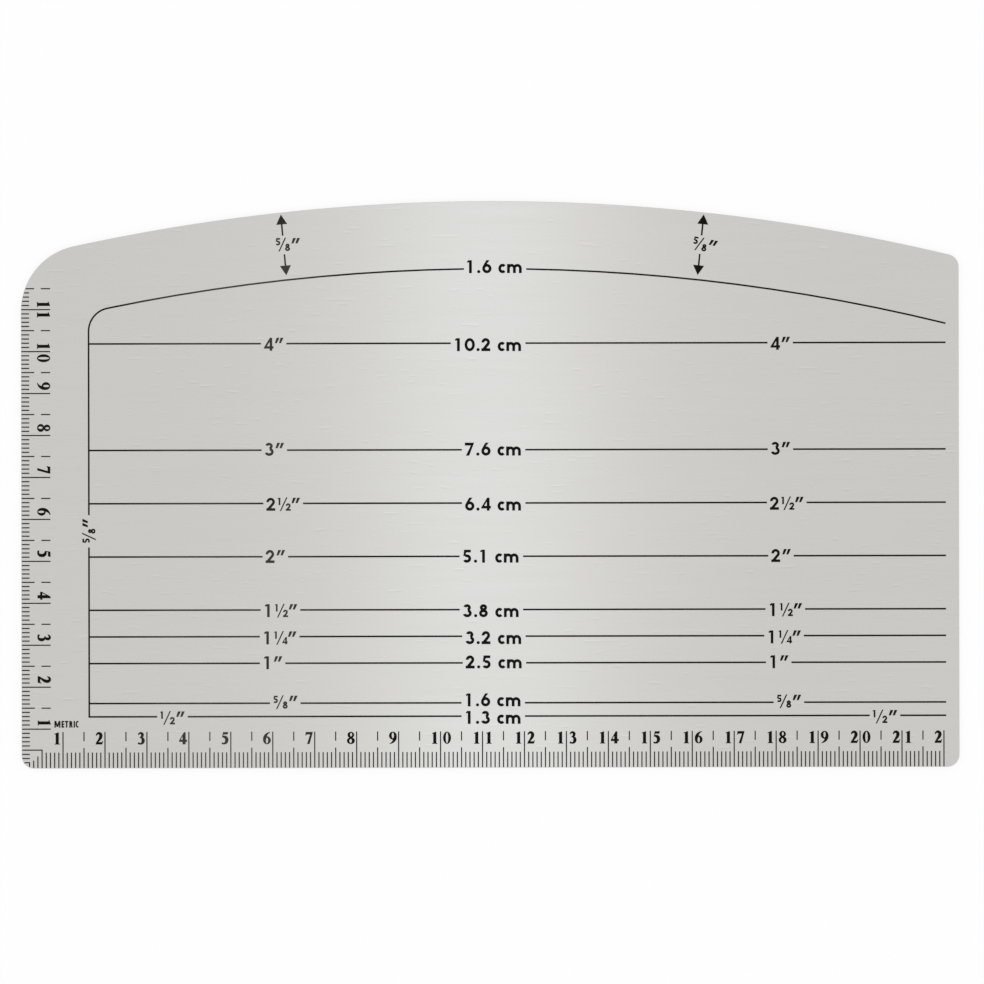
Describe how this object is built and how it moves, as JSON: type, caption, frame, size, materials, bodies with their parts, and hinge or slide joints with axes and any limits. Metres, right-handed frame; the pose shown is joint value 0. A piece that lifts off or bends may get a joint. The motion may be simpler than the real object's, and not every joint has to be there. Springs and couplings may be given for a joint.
{
  "type": "sewing gauge",
  "caption": "Flat sheet-metal hem gauge for sewing, with an arched long edge, a large rounded corner, printed hem lines and true-size centimetre scales along its straight edges.",
  "frame": {"origin": "middle of the plate's bounding box, on the plain back face that the gauge lies on", "axes": "+X along the plate's length, from the left edge to the right edge; +Y across it, from the straight bottom edge to the arched top edge; +Z out of the printed face"},
  "size_m": [0.2236, 0.1351, 0.0008],
  "materials": {
    "plate": "fine horizontal brushing, satin, with softly deburred edges",
    "ink": "thin screen-printed black ink, slightly satin"
  },
  "bodies": {
    "root": {"gauge_plate": "plate", "seam_guide_line": "ink", "seam_guide_inch_label": "ink", "seam_guide_cm_label": "ink", "hem_line_half_inch": "ink", "hem_line_five_eighths_inch": "ink", "hem_line_one_inch": "ink", "hem_line_one_quarter_inch": "ink", "hem_line_one_half_inch": "ink", "hem_line_two_inch": "ink", "hem_line_two_half_inch": "ink", "hem_line_three_inch": "ink", "hem_line_four_inch": "ink", "inch_labels_half": "ink", "inch_labels_five_eighths": "ink", "inch_labels_one": "ink", "inch_labels_one_quarter": "ink", "inch_labels_one_half": "ink", "inch_labels_two": "ink", "inch_labels_two_half": "ink", "inch_labels_three": "ink", "inch_labels_four": "ink", "cm_label_half": "ink", "cm_label_five_eighths": "ink", "cm_label_one": "ink", "cm_label_one_quarter": "ink", "cm_label_one_half": "ink", "cm_label_two": "ink", "cm_label_two_half": "ink", "cm_label_three": "ink", "cm_label_four": "ink", "left_width_arrow": "ink", "left_arrow_label": "ink", "right_width_arrow": "ink", "right_arrow_label": "ink", "bottom_millimetre_ticks": "ink", "bottom_half_ticks": "ink", "bottom_centimetre_ticks": "ink", "bottom_numerals": "ink", "side_millimetre_ticks": "ink", "side_half_ticks": "ink", "side_centimetre_ticks": "ink", "side_numerals": "ink", "corner_ticks": "ink", "unit_word": "ink"}
  },
  "joints": []
}
